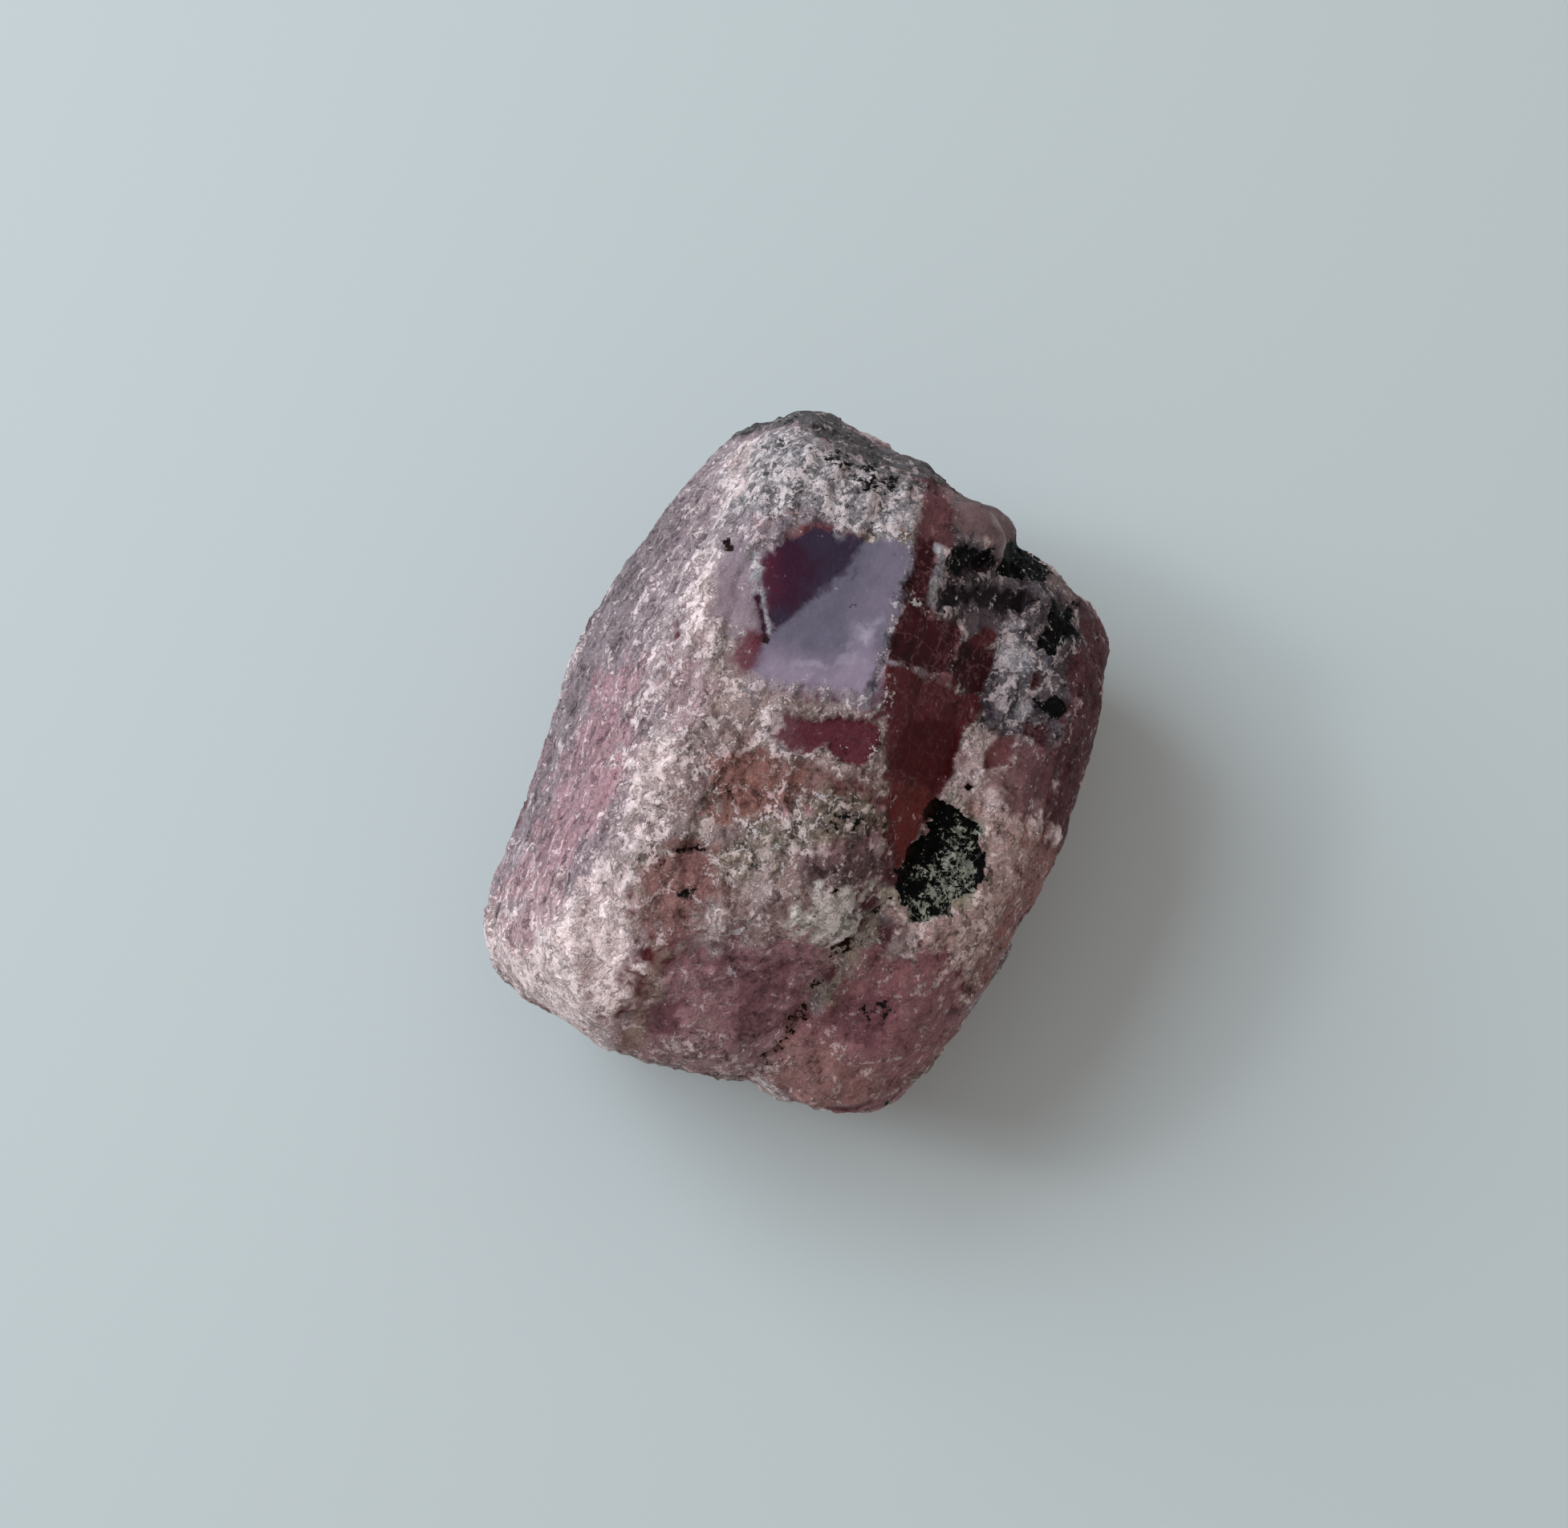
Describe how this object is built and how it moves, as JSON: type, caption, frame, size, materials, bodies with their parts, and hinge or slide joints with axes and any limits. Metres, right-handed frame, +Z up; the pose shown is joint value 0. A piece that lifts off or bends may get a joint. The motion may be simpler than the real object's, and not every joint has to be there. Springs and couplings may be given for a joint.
{
  "type": "raw ruby crystal",
  "caption": "Rough barrel-shaped ruby crystal with a lower crystal grown along its side, pale crust and a dark mineral pocket, lying on a flat prism face.",
  "frame": {"origin": "under the middle of the stone, on the plane that it rests on", "axes": "+Z up, +Y along the crystal's c-axis (its length) to the end with the smooth lavender facet, +X towards the lower crystal"},
  "size_m": [0.016, 0.0202, 0.0133],
  "materials": {
    "ruby_stone": "rough crystalline ruby, pink to dark red, with pale grey-pink crust, glassy lavender facet and black mineral specks"
  },
  "bodies": {
    "root": {"ruby_crystal": "ruby_stone"}
  },
  "joints": []
}
